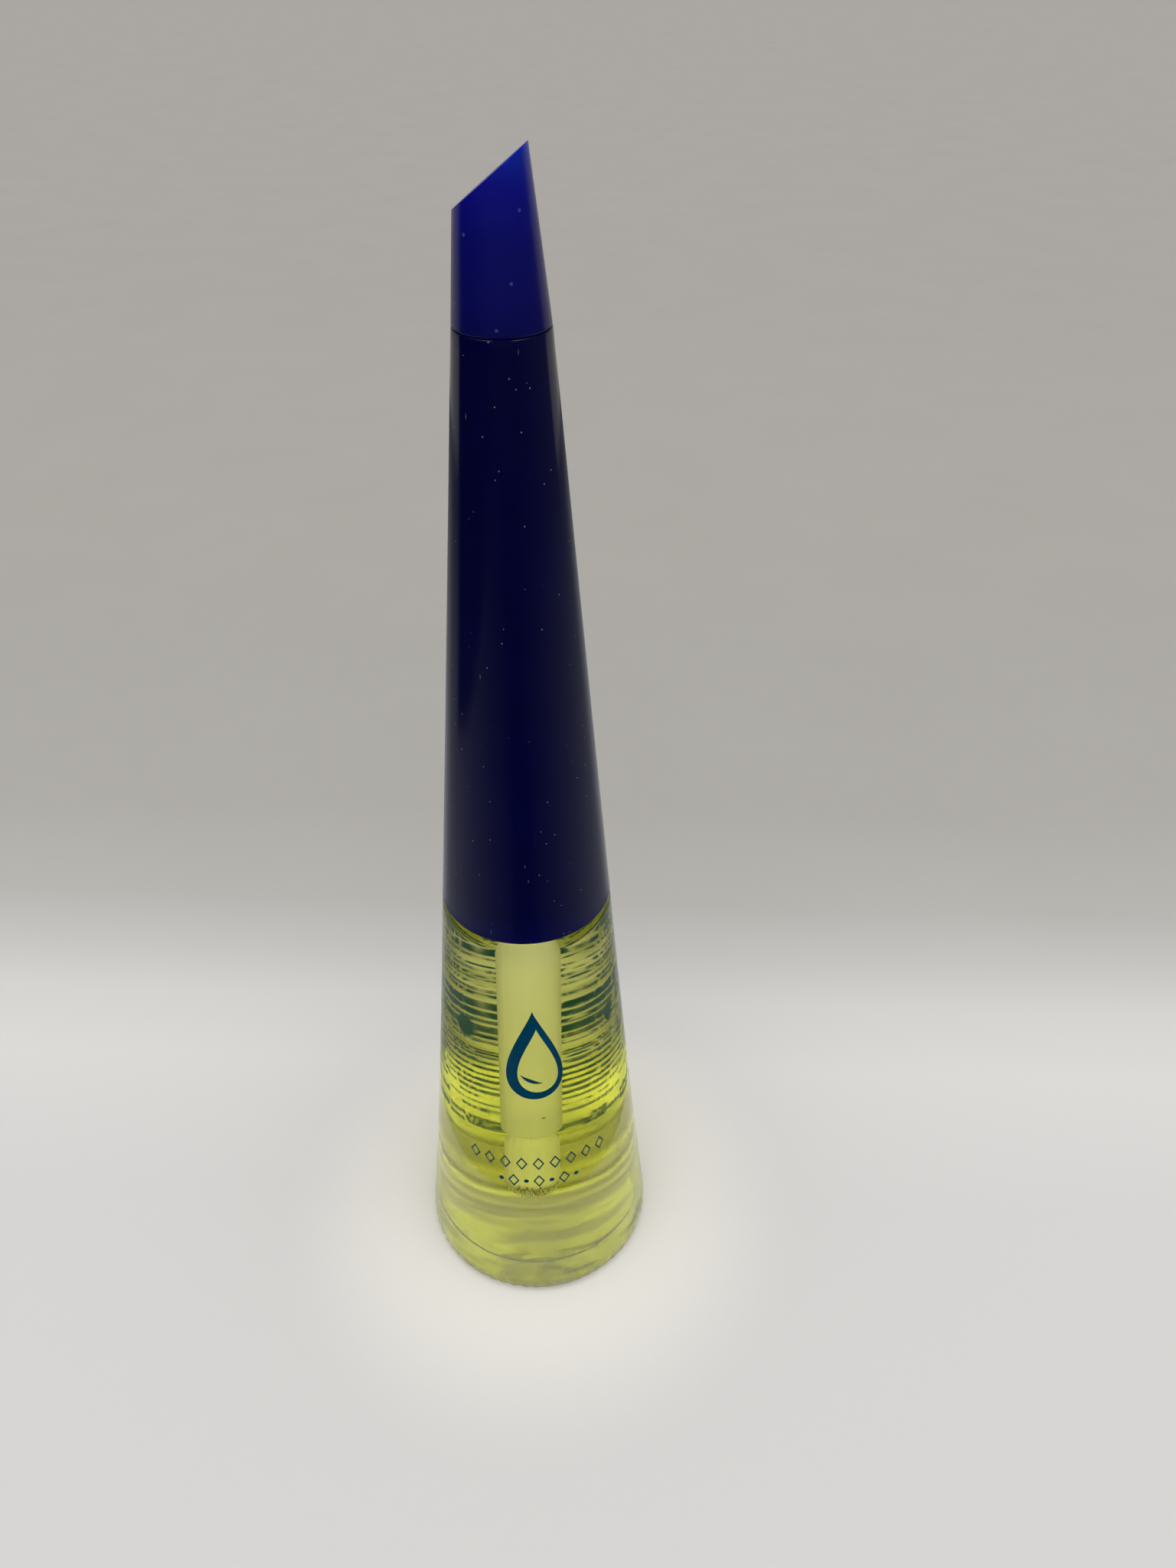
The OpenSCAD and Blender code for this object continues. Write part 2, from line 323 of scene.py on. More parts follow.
def tip_material():
    m, nt, b, out = material("cobalt_translucent")
    co = coords(nt)
    sep = node(nt, "ShaderNodeSeparateXYZ")
    nt.links.new(co, sep.inputs[0])
    # painted light: the colour turns lighter and more cyan towards the top of the tip
    up = maprange(nt, sep.outputs["Z"], 0.114, 0.1266, 0.0, 1.0)
    wob = noise(nt, co, 160.0, 3.0, 0.5)
    up = math_node(nt, "ADD", up, maprange(nt, wob, 0.3, 0.7, -0.05, 0.05))
    base = ramp(nt, up, [(0.0, (0.0003, 0.0006, 0.052)), (0.5, (0.0003, 0.0007, 0.092)),
                         (0.8, (0.0004, 0.0012, 0.145)), (1.0, (0.0010, 0.0110, 0.22))])
    vo = node(nt, "ShaderNodeTexVoronoi", feature="F1", distance="EUCLIDEAN")
    vo.inputs["Scale"].default_value = 700.0
    nt.links.new(co, vo.inputs["Vector"])
    pick = node(nt, "ShaderNodeTexWhiteNoise", noise_dimensions="3D")
    nt.links.new(vo.outputs["Position"], pick.inputs["Vector"])
    speck = math_node(nt, "MULTIPLY", maprange(nt, vo.outputs["Distance"], 0.05, 0.12, 1.0, 0.0),
                      math_node(nt, "GREATER_THAN", pick.outputs["Value"], 0.60))
    base = rgba_mix(nt, math_node(nt, "MULTIPLY", speck, 0.3), base, (0.10, 0.13, 0.33))
    nt.links.new(base, b.inputs["Base Color"])
    b.inputs["IOR"].default_value = 1.5
    rough = maprange(nt, noise(nt, co, 70.0, 4.0, 0.6), 0.3, 0.75, 0.20, 0.30)
    nt.links.new(rough, b.inputs["Roughness"])
    b.inputs["Specular IOR Level"].default_value = 0.34
    b.inputs["Subsurface Weight"].default_value = 0.35
    b.inputs["Subsurface Radius"].default_value = (0.15, 0.3, 1.0)
    b.inputs["Subsurface Scale"].default_value = 0.0022
    nt.links.new(bump(nt, noise(nt, co, 900.0, 2.0, 0.5), 0.04, 0.00002), b.inputs["Normal"])
    return m


def milky_material():
    m, nt, b, out = material("natural_plastic")
    co = coords(nt)
    n = noise(nt, co, 120.0, 4.0, 0.55)
    nt.links.new(ramp(nt, n, [(0.3, (0.92, 0.915, 0.76)), (0.7, (0.96, 0.955, 0.81))]), b.inputs["Base Color"])
    nt.links.new(maprange(nt, noise(nt, co, 300.0, 3.0), 0.3, 0.7, 0.32, 0.45), b.inputs["Roughness"])
    b.inputs["IOR"].default_value = 1.45
    b.inputs["Specular IOR Level"].default_value = 0.25
    b.inputs["Subsurface Weight"].default_value = 0.6
    b.inputs["Subsurface Radius"].default_value = (1.0, 0.95, 0.75)
    b.inputs["Subsurface Scale"].default_value = 0.0015
    return m


def bristle_material():
    m, nt, b, out = material("bristle_filament")
    co = coords(nt)
    n = noise(nt, co, 900.0, 2.0, 0.5)
    nt.links.new(ramp(nt, n, [(0.3, (0.96, 0.955, 0.82)), (0.7, (0.99, 0.985, 0.87))]), b.inputs["Base Color"])
    b.inputs["Roughness"].default_value = 0.6
    b.inputs["IOR"].default_value = 1.04
    b.inputs["Specular IOR Level"].default_value = 0.1
    b.inputs["Subsurface Weight"].default_value = 1.0
    b.inputs["Subsurface Radius"].default_value = (1.0, 1.0, 0.9)
    b.inputs["Subsurface Scale"].default_value = 0.0012
    return m


def ink_material(name, dark, light):
    m, nt, b, out = material(name)
    co = coords(nt)
    n = noise(nt, co, 700.0, 3.0, 0.6)
    nt.links.new(ramp(nt, n, [(0.3, dark), (0.75, light)]), b.inputs["Base Color"])
    b.inputs["Roughness"].default_value = 0.6
    b.inputs["Specular IOR Level"].default_value = 0.0
    return m


def plastic_material(name, a, c, r0, r1, scale, bump_d=0.00002):
    m, nt, b, out = material(name)
    co = coords(nt)
    n = noise(nt, co, scale, 4.0, 0.6)
    nt.links.new(ramp(nt, n, [(0.3, a), (0.7, c)]), b.inputs["Base Color"])
    nt.links.new(maprange(nt, n, 0.3, 0.7, r0, r1), b.inputs["Roughness"])
    nt.links.new(bump(nt, noise(nt, co, scale * 9, 2.0), 0.2, bump_d), b.inputs["Normal"])
    return m


def film_material():
    m, nt, b, out = material("clear_film")
    b.inputs["Base Color"].default_value = (0.99, 0.995, 0.99, 1)
    b.inputs["Roughness"].default_value = 0.02
    b.inputs["IOR"].default_value = 1.06
    b.inputs["Transmission Weight"].default_value = 1.0
    co = coords(nt)
    nt.links.new(bump(nt, noise(nt, co, 400.0, 2.0), 0.1, 0.00001), b.inputs["Normal"])
    return m


GLASS = glass_material("clear_glass", 1.52, rough=0.045)
# the base, low and side glass are copies of the clear glass with a darker tint, which is painted shade; their roughness
# and bumps are the glass's own
GLASS_BASE = glass_material("glass_base_with_painted_shade", 1.52, rough=0.34, scale=150.0, strength=0.9, dist=0.0011, tint=(0.80, 0.81, 0.73))
GLASS_BACK = glass_material("clear_glass_behind_film", 1.52, rough=0.28, scale=180.0, strength=0.8, dist=0.0005)
GLASS_LOW = glass_material("glass_low_with_painted_shade", 1.52, rough=0.42, scale=120.0, strength=0.7, dist=0.0006, tint=(0.82, 0.83, 0.75))
GLASS_SIDE = glass_material("glass_side_with_painted_shade", 1.52, rough=0.20, scale=120.0, strength=0.7, dist=0.0006, tint=(0.82, 0.83, 0.75))
GLASS_WET = glass_material("clear_glass_wet", 1.034, wavy=False)
OIL = oil_material()
NAVY = navy_material()
COBALT = tip_material()
MILKY = milky_material()
BRISTLE = bristle_material()
INK = ink_material("teal_ink", (0.0, 0.062, 0.130), (0.001, 0.085, 0.170))
INK_BACK = ink_material("teal_ink_fine", (0.014, 0.138, 0.480), (0.036, 0.190, 0.550))
FILM = film_material()
CLOSURE = plastic_material("closure_plastic", (0.76, 0.76, 0.72), (0.84, 0.84, 0.80), 0.35, 0.5, 110.0)
WASHER = plastic_material("washer_foam", (0.80, 0.80, 0.78), (0.90, 0.90, 0.88), 0.7, 0.9, 500.0, 0.00006)
STEEL, _nt, _b, _o = material("staple_wire")
_co = coords(_nt)
_n = noise(_nt, _co, 1500.0, 3.0)
_nt.links.new(ramp(_nt, _n, [(0.3, (0.28, 0.27, 0.22)), (0.7, (0.45, 0.44, 0.38))]), _b.inputs["Base Color"])
_nt.links.new(maprange(_nt, _n, 0.3, 0.7, 0.3, 0.5), _b.inputs["Roughness"])
_b.inputs["Metallic"].default_value = 0.9

# ---------------------------------------------------------------- camera, as fitted to the photograph
K = 28.0 / 26.0
D, E, TZ, YAW, ROLL = 108.205 * K * MM, 0.645, 64.598 * K * MM, 0.071, -0.001
cam_at = Vector((0.0, -D * math.cos(E), TZ + D * math.sin(E)))
fwd = Vector((math.sin(YAW) * math.cos(E), math.cos(YAW) * math.cos(E), -math.sin(E)))
right = Vector((math.cos(YAW), -math.sin(YAW), 0.0))
up = right.cross(fwd)
r2 = math.cos(ROLL) * right + math.sin(ROLL) * up
u2 = -math.sin(ROLL) * right + math.cos(ROLL) * up
cam_data = bpy.data.cameras.new("camera")
cam_data.sensor_width = 36.0
cam_data.lens = 1520.0 / 2048.0 * 36.0
cam_data.clip_start, cam_data.clip_end = 0.002, 20.0
cam = bpy.data.objects.new("camera", cam_data)
bpy.context.scene.collection.objects.link(cam)
rot = Matrix((r2, u2, -fwd)).transposed().to_4x4()
cam.matrix_world = Matrix.Translation(cam_at) @ rot
bpy.context.scene.camera = cam

# ---------------------------------------------------------------- glass bottle
tilt = math.degrees(math.atan(-(glass_r(RIM_Z - 1.35 + 0.5) - glass_r(RIM_Z - 1.35 - 0.5))))
SZ = RIM_Z - 1.35
SCX = glass_r(SZ) - SHOULDER_R * math.cos(math.radians(tilt))
SCZ = SZ - SHOULDER_R * math.sin(math.radians(tilt))
STOP = SCZ + SHOULDER_R
CORNER = 2.8
CAV0, CAV1 = FLOOR + CORNER, 52.0


def cavity_points(inset=0.0):
    """The cavity's wall from the bore at the inner shoulder down to the floor's centre."""
    pts = arc(BORE_R, CAV1, cavity_r(CAV1) - BORE_R - inset, 3.6 - inset, 90, 6, 14)
    n = 46
    pts += [(cavity_r(CAV1 + (CAV0 - CAV1) * i / n) - inset, CAV1 + (CAV0 - CAV1) * i / n) for i in range(n + 1)]
    cr = cavity_r(CAV0) - CORNER
    pts += arc(cr, CAV0, CORNER - inset, CORNER - inset, -6, -84, 16)
    pts += [(cr - 0.4, FLOOR + inset)]
    for i in range(1, 8):
        x = (cr - 0.4) * (1 - i / 7)
        pts.append((x, FLOOR + inset + 0.5 * (1 - (x / (cr - 0.4)) ** 2)))
    return pts


def thread_height(z, a):
    """How far the neck's thread stands out at height z and angle a (radians), 0 to 1."""
    h = 0.0
    for k in (0, 1):
        turns = (a / (2 * math.pi) + k)
        if turns > TURNS:
            continue
        dz = abs(z - (THREAD_Z + PITCH * turns))
        t = turns / TURNS
        f = max(0.0, min(1.0, min(t, 1 - t) * 9))
        h = max(h, (1 - smooth(dz, 0.24, 0.58)) * f)
    return h


outer = [(11.0 * i / 14, PUNT * (1 - (i / 14) ** 2)) for i in range(15)]
outer += [(11.0 + (BASE_R - HEEL_W - 11.0) * i / 4, 0.0) for i in range(1, 5)]
outer += arc(BASE_R - HEEL_W, HEEL_Z, HEEL_W, HEEL_Z, -84, -4, 16)
NB = 64
outer += [(glass_r(HEEL_Z + (SZ - HEEL_Z) * i / NB), HEEL_Z + (SZ - HEEL_Z) * i / NB) for i in range(NB + 1)]
outer += arc(SCX, SCZ, SHOULDER_R, SHOULDER_R, tilt + 4, 90, 20)
outer += arc(NECK_R + 0.5, STOP + 0.5, 0.5, 0.5, 262, 180, 6)
z0 = STOP + 0.7
outer += [(NECK_R, z0 + (65.4 - z0) * i / 66) for i in range(67)]
outer += arc(NECK_R - 0.4, LIP_Z - 0.4, 0.4, 0.4, 0, 90, 7)
outer += arc(BORE_R + 0.3, LIP_Z - 0.3, 0.3, 0.3, 90, 180, 6)
outer += [(BORE_R, 66.0 - (66.0 - OIL_Z - 0.02) * i / 8) for i in range(9)]
dry_rows = len(outer) - 1
cavity = cavity_points()
glass_prof = outer + [(BORE_R, OIL_Z - 0.35)] + cavity


def glass_disp(r, z, a, i):
    if 59.2 < z < 64.6 and abs(r - NECK_R) < 0.01:
        r = NECK_R + (THREAD_R - NECK_R) * thread_height(z, a)
    if i < len(outer) and r > 11.5 and z < 2.4:
        # fine stippling of the mould along the heel
        w = smooth(z, 0.05, 0.35) * (1 - smooth(z, 1.0, 2.2))
        r -= w * 0.20 * (0.5 + 0.5 * math.sin(62 * a + 0.9 * math.sin(5 * a))) * (0.7 + 0.3 * math.sin(7 * a + 2))
    if 0 < i < len(outer) and r > 11.2 and z < 0.02:
        # and the ring it stands on
        z += 0.10 * (0.5 + 0.5 * math.sin(62 * a + 0.9 * math.sin(5 * a))) * smooth(r, 11.2, 11.8)
    if i > len(outer) and r > 0.1:
        # the blown inside is never quite true
        k = smooth(z, FLOOR, FLOOR + 4)
        r -= 0.05 * k * (1 + 0.6 * math.sin(2 * a + 0.07 * z) + 0.4 * math.sin(3 * a - 0.11 * z + 1)) * 0.5
        if r < 9.5 and z < FLOOR + 1.5:
            z += 0.12 * math.sin(3 * a + 0.5) * (r / 9.5) ** 2
    return r, z


# the punt and heel rows get the base glass, whose darker tint is painted shade
bottle = lathe("bottle_glass", glass_prof, 312, [GLASS, GLASS_WET, GLASS_BASE, GLASS_BACK, GLASS_LOW, GLASS_SIDE], "bottle",
               disp=glass_disp, sharp=50.0, row_mat=lambda p, r: 1 if r >= dry_rows else (2 if r < 36 else 0))
for q in bottle.data.polygons:
    # the outer glass below 13 mm, except at the front, gets rougher copies with a darker tint, and that tint is painted
    # shade
    x, y, z = q.center / MM
    if z < 13.0 and y > -6.0 and abs(math.hypot(x, y) - glass_r(z)) < 0.3 and q.material_index == 0:
        q.material_index = 4 if z < 8.0 and y > 3.0 else 5
    # where the film sticks to the glass, its back face is matt
    if (LABEL_LOW < z < LABEL_LOW + LABEL_H and abs(math.hypot(x, y) - glass_r(z)) < 0.3
            and abs(math.degrees(math.atan2(x, y))) < LABEL_SWEEP / 2):
        q.material_index = 3
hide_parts("glass_bottle")


def oil_disp(r, z, a, i):
    k = smooth(z, FLOOR, FLOOR + 4) if z < 51.9 else 0.0
    rr = r - 0.05 * k * (1 + 0.6 * math.sin(2 * a + 0.07 * z) + 0.4 * math.sin(3 * a - 0.11 * z + 1)) * 0.5
    if rr < 9.5 and z < FLOOR + 1.5:
        z += 0.12 * math.sin(3 * a + 0.5) * (rr / 9.5) ** 2
    return rr, z


cav = cavity_points(0.015)
oil_prof = list(reversed(cav)) + [(BORE_R - 0.015, OIL_Z - 0.4), (BORE_R - 0.02, OIL_Z)]
oil_prof += [(BORE_R - 0.1, OIL_Z - 0.06), (BORE_R - 0.4, OIL_Z - 0.1), (1.5, OIL_Z - 0.1), (0.0, OIL_Z - 0.1)]
oil = lathe("oil_body", oil_prof, 192, [OIL], "bottle", disp=oil_disp, sharp=60.0)
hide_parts("oil_fill")


# ---------------------------------------------------------------- rear film and its print
def shell_patch(name, a0, a1, z_lo, z_hi, r_in, r_out, na, nz, mats, body):
    """A thin closed shell that follows the glass cone. Angles in degrees, offsets from the glass in mm."""
    verts, faces = [], []
    for off in (r_in, r_out):
        for i in range(nz + 1):
            z = z_lo + (z_hi - z_lo) * i / nz
            for j in range(na + 1):
                a = math.radians(a0 + (a1 - a0) * j / na)
                r = glass_r(z) + off
                verts.append((r * math.cos(a), r * math.sin(a), z))
    n = (na + 1) * (nz + 1)
    w = na + 1
    for i in range(nz):
        for j in range(na):
            p = i * w + j
            faces.append((p, p + w, p + w + 1, p + 1))
            faces.append((n + p, n + p + 1, n + p + w + 1, n + p + w))
    for j in range(na):
        faces.append((j, j + 1, n + j + 1, n + j))
        p = nz * w + j
        faces.append((p + 1, p, n + p, n + p + 1))
    for i in range(nz):
        p = i * w
        faces.append((p + w, p, n + p, n + p + w))
        p = i * w + na
        faces.append((p, p + w, n + p + w, n + p))
    return finish_mesh(name, verts, faces, mats, body, 40.0)


half = LABEL_SWEEP / 2
film = shell_patch("rear_film", 90 - half, 90 + half, LABEL_LOW, LABEL_LOW + LABEL_H, 0.03, 0.11, 96, 40,
                   [FILM], "bottle")
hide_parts("rear_label")


class Print:
    """Flat strokes of ink that follow the glass cone, each a thin closed plate."""

    def __init__(self, lo, hi):
        self.v, self.f, self.lo, self.hi = [], [], lo, hi

    def poly(self, pts):
        """pts: outline as (angle in degrees, z), counter-clockwise seen from outside."""
        base = len(self.v)
        n = len(pts)
        for off in (self.lo, self.hi):
            for a, z in pts:
                r = glass_r(z) + off
                t = math.radians(a)
                self.v.append((r * math.cos(t), r * math.sin(t), z))
        self.f.append(tuple(base + n + i for i in range(n)))
        self.f.append(tuple(base + n - 1 - i for i in range(n)))
        for i in range(n):
            k = (i + 1) % n
            self.f.append((base + i, base + k, base + n + k, base + n + i))

    def strip(self, left, right):
        """A ribbon between two point lists of the same length, each (angle, z)."""
        for i in range(len(left) - 1):
            self.poly([left[i], right[i], right[i + 1], left[i + 1]])

    def bar(self, a, z, wa, h, lean=0.0):
        self.poly([(a, z), (a + wa, z), (a + wa + lean, z + h), (a + lean, z + h)])

    def rule(self, a0, a1, z, h):
        n = max(1, int(abs(a1 - a0) / 2.5))
        for i in range(n):
            b0 = a0 + (a1 - a0) * i / n
            b1 = a0 + (a1 - a0) * (i + 1) / n
            self.poly([(b0, z), (b1, z), (b1, z + h), (b0, z + h)])

    def make(self, name, mat, body):
        return finish_mesh(name, self.v, self.f, [mat], body, smooth_all=False)


rng = random.Random(7)
rear = Print(-0.035, -0.015)


def text_row(z, size, a0, a1, density=0.62):
    """A row of upright strokes in groups: reads as fine print from afar and says nothing."""
    step = math.degrees(1.0 / glass_r(z))
    a = a0
    while a < a1 - 1.0:
        for _ in range(rng.randint(3, 11)):
            w = size * rng.uniform(0.13, 0.2) * step
            h = size * rng.choice((0.62, 0.62, 0.62, 0.66, 0.95))
            lo = -size * 0.25 if rng.random() < 0.12 else 0.0
            if a + w > a1:
                break
            rear.bar(a, z + lo, w, h - lo)
            a += w / density
        a += size * rng.uniform(0.3, 0.5) * step


def lens(side, u, z):
    """Angle on the glass for the middle of the back, where the full bottle magnifies most.

    u runs away from the fold of the lens; equal steps of u look about equally wide from the front."""
    c = 0.0017 + 0.0009 * smooth(z, 12.0, 32.0)
    return 90.0 - side * (0.1 * z - c * u * u)


def fine_row(side, z, h, duty=0.6, u0=0.0, u1=62.0, lean=1.6):
    """The same print within a millimetre of the middle of the back, with strokes as fine as the lens asks."""
    u = u0 + rng.uniform(0, 2)
    gap = rng.randint(4, 9)
    while u < u1:
        w = 5.6 * duty * rng.uniform(0.85, 1.15)
        hh = h * rng.uniform(0.75, 1.0)
        b, t = z - hh / 2, z + hh / 2
        q = [[lens(side, u, b), b], [lens(side, u + w, b), b], [lens(side, u + w + lean, t), t], [lens(side, u + lean, t), t]]
        for i, j in ((0, 1), (3, 2)):
            if abs(q[j][0] - q[i][0]) < 0.06:
                q[j][0] = q[i][0] + 0.06 * side
        rear.poly([tuple(v) for v in (q if side > 0 else q[::-1])])
        u += w / duty
        gap -= 1
        if gap == 0:
            u += 3.0
            gap = rng.randint(4, 9)


A0, A1 = 26.0, 154.0
RIGHT = [(41.2, 0.42, 0.5), (39.5, 0.6, 0.6), (38.0, 0.42, 0.5), (36.3, 0.55, 0.6), (34.4, 1.25, 0.78), (32.9, 0.95, 0.66),
         (31.5, 0.35, 0.5), (30.3, 0.3, 0.5), (29.1, 0.75, 0.62), (27.9, 0.3, 0.5), (25.9, 0.42, 0.56),
         (24.5, 0.5, 0.6), (23.2, 0.46, 0.6), (22.0, 0.5, 0.62), (20.9, 0.46, 0.6), (19.8, 0.5, 0.6), (18.7, 0.46, 0.6),
         (17.4, 0.5, 0.56), (14.9, 0.7, 0.5), (12.0, 0.9, 0.6)]
LEFT = [(42.5, 0.42, 0.5), (40.4, 0.55, 0.55), (38.9, 0.36, 0.5), (37.1, 0.6, 0.6), (34.6, 1.25, 0.8), (33.1, 0.95, 0.82),
        (31.8, 0.65, 0.74), (30.4, 1.25, 0.8), (28.2, 0.35, 0.5), (26.4, 0.42, 0.56), (25.3, 0.48, 0.6), (24.2, 0.46, 0.6),
        (23.1, 0.5, 0.62), (21.9, 0.46, 0.6), (20.7, 0.46, 0.6), (19.6, 0.42, 0.56), (18.4, 0.4, 0.5), (16.2, 0.4, 0.4),
        (12.8, 0.8, 0.55), (11.4, 0.7, 0.6)]
for side, rows in ((1, RIGHT), (-1, LEFT)):
    for z, h, duty in rows:
        fine_row(side, z, h, duty)
        size = 1.6 * h if h < 1.0 else 1.25 * h
        lo, hi = (A0 + rng.uniform(0, 5), 83.5) if side > 0 else (96.5, A1 - rng.uniform(0, 8))
        text_row(z - size * 0.31, size, lo, hi, min(0.78, duty + 0.14))
for z in (50.6, 48.8, 46.9, 45.0, 43.6):
    text_row(z - 0.4, 1.15, A0 + rng.uniform(0, 8), A1 - rng.uniform(0, 14), 0.68)
# a plain round spot at the left end of the rows
spot = []
for i in range(28):
    t = 2 * math.pi * i / 28
    z = 29.9 + 1.75 * math.sin(t)
    spot.append((lens(-1, 24.0 + 11.0 * math.cos(t), z), z))
area2 = sum(spot[i][0] * spot[(i + 1) % 28][1] - spot[(i + 1) % 28][0] * spot[i][1] for i in range(28))
rear.poly(spot if area2 < 0 else spot[::-1])
rear_print = rear.make("rear_fine_print", INK_BACK, "bottle")

# ---------------------------------------------------------------- front motif: a plain drop with two ornamental rows
front = Print(-0.03, -0.012)
FC = -90.0


def deg(mm, z):
    return math.degrees(mm / glass_r(z))


def drop_outline(cx, cz, w, h, n=64):
    """A drop with its point up: round below, drawn to a point above."""
    pts = []
    for i in range(n):
        t = 2 * math.pi * i / n
        x = w / 2 * math.sin(t) * (math.sin(t / 2) ** 1.5)
        y = h / 2 * math.cos(t)
        pts.append((cx + x, cz + y))
    return pts


def ring_between(a, b):
    n = len(a)
    for i in range(n):
        k = (i + 1) % n
        q = [a[i], b[i], b[k], a[k]]
        front.poly([(FC + deg(x, z), z) for x, z in q])


ZC = 40.6
out_d = drop_outline(0.0, ZC, 9.0, 13.0)
in_d = drop_outline(0.35, ZC - 0.75, 6.4, 9.4)
ring_between(out_d, in_d)
# a crescent of light inside the drop
cres, cres_in = [], []
for i in range(13):
    t = math.radians(205 + 80 * i / 12)
    k = 0.5 * math.sin(math.pi * i / 12)
    cres.append((2.15 * math.cos(t) + 0.35, ZC - 1.75 + 2.4 * math.sin(t)))
    cres_in.append(((2.15 - k) * math.cos(t) + 0.35, ZC - 1.75 + (2.4 - k) * math.sin(t)))
for i in range(12):
    q = [cres_in[i], cres[i], cres[i + 1], cres_in[i + 1]]
    front.poly([(FC + deg(x, z), z) for x, z in q])


def lozenge(cx, cz, w, h, line):
    """An open lozenge of even line width."""
    s = 2 * line * math.hypot(w, h) / (w * h)
    o = [(cx, cz - h / 2), (cx + w / 2, cz), (cx, cz + h / 2), (cx - w / 2, cz)]
    n = [(cx + (x - cx) * (1 - s), cz + (z - cz) * (1 - s)) for x, z in o]
    for i in range(4):
        k = (i + 1) % 4
        front.poly([(FC + deg(x, z), z) for x, z in (o[i], o[k], n[k], n[i])])


# two plain ornamental rows below: open lozenges, then lozenges between dots
for i in range(9):
    lozenge((i - 4) * 1.95, 23.6, 1.35, 2.1, 0.17)
for i in range(7):
    x = (i - 3) * 1.5
    if i % 2:
        lozenge(x, 20.7, 1.35, 2.0, 0.17)
    else:
        ring = [(x + 0.3 * math.cos(2 * math.pi * j / 12), 20.7 + 0.3 * math.sin(2 * math.pi * j / 12)) for j in range(12)]
        front.poly([(FC + deg(u, z), z) for u, z in ring])
front_print = front.make("front_motif", INK, "bottle")

# ---------------------------------------------------------------- brush
stem_prof = [(0.0, STEM_END_Z + SOCKET_H), (SOCKET_R, STEM_END_Z + SOCKET_H), (SOCKET_R, STEM_END_Z + 0.15),
             (SOCKET_R + 0.08, STEM_END_Z)]
stem_prof += arc(STEM_END_R - 0.33, STEM_END_Z + 0.33, 0.33, 0.33, -86, -2, 6)
stem_prof += [(STEM_END_R + (STEM_TOP_R - STEM_END_R) * i / 20, STEM_END_Z + 0.4 + (56 - STEM_END_Z - 0.4) * i / 20)
              for i in range(21)]
stem_prof += [(STEM_TOP_R, 60.0), (STEM_TOP_R, FLANGE_Z - 0.15), (STEM_TOP_R + 0.15, FLANGE_Z),
              (4.55, FLANGE_Z), (4.7, FLANGE_Z + 0.12), (4.7, FLANGE_Z + 0.88), (4.55, FLANGE_Z + 1.0),
              (2.6, FLANGE_Z + 1.0), (2.6, FLANGE_Z + 4.5), (2.1, FLANGE_Z + 5.0), (0.0, FLANGE_Z + 5.0)]


def stem_disp(r, z, a, i):
    # the mould's parting line
    if z < 60 and r > SOCKET_R + 0.2:
        d = min(abs((a - 0.5) % math.pi), math.pi - abs((a - 0.5) % math.pi))
        r -= 0.03 * (1 - math.exp(-(d / 0.05) ** 2))
    return r, z


stem = lathe("brush_rod", stem_prof, 96, [MILKY], "applicator", disp=stem_disp, sharp=40.0)
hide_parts("brush_stem")



def lean(z):
    """The brush stands a touch askew in the neck: its sideways shift at height z."""
    return -0.0085 * max(0.0, 60.0 - z)


for w in stem.data.vertices:
    w.co.x += lean(w.co.z / MM) * MM

# the wire that holds the folded filaments, with rounded ends
wire = arc(0.0, -1.83, 0.22, 0.2, -90, 0, 6) + [(0.205, -0.9), (0.22, 0.0), (0.205, 0.9)] + arc(0.0, 1.83, 0.22, 0.2, 0, 90, 6)
wv, wf, _r = lathe_data([(max(0.0, r), z) for r, z in wire], 24)
STZ, STA = STEM_END_Z + 3.5, math.radians(-65)
wv = [(z * math.cos(STA) - y * math.sin(STA) + lean(STZ), z * math.sin(STA) + y * math.cos(STA), STZ - x) for x, y, z in wv]
staple = finish_mesh("staple_wire", wv, wf, [STEEL], "applicator", 60.0)
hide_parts("bristle_staple")

def tuft_spread(z):
    return 1 + 0.32 * smooth(STEM_END_Z - z, -0.3, 2.6)


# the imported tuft, its outer filaments side by side, with loose ends below
NFL = 84
core_prof = [(0.0, TUFT_Z + 0.9)]
for i in range(1, 13):
    q = i / 12
    core_prof.append((1.36 * q * 1.28, TUFT_Z + 0.9 + 1.9 * q ** 2.6))
core_top = core_prof[-1][1]
for i in range(1, 37):
    z = core_top + (STEM_END_Z + SOCKET_H - 0.6 - core_top) * i / 36
    core_prof.append((1.36 * tuft_spread(z), z))
core_prof.append((0.0, STEM_END_Z + SOCKET_H - 0.6))


def core_disp(r, z, a, i):
    b = a + 0.035 * math.sin(0.55 * z + 2 * a) + 0.02 * math.sin(1.3 * z + 5 * a)
    u = (b * NFL / (2 * math.pi)) % 1.0 * 2 - 1
    d = 0.055 * (1 - math.sqrt(max(0.0, 1 - 0.9 * u * u)))
    d += 0.02 * math.sin(7 * a + 0.3 * z) + 0.015 * math.sin(19 * a)
    if i < 12:
        z += 0.14 * (math.sin(17 * a) + math.sin(29 * a + 1)) * r / 1.7
    return r - d * min(1.0, r / 0.8), z


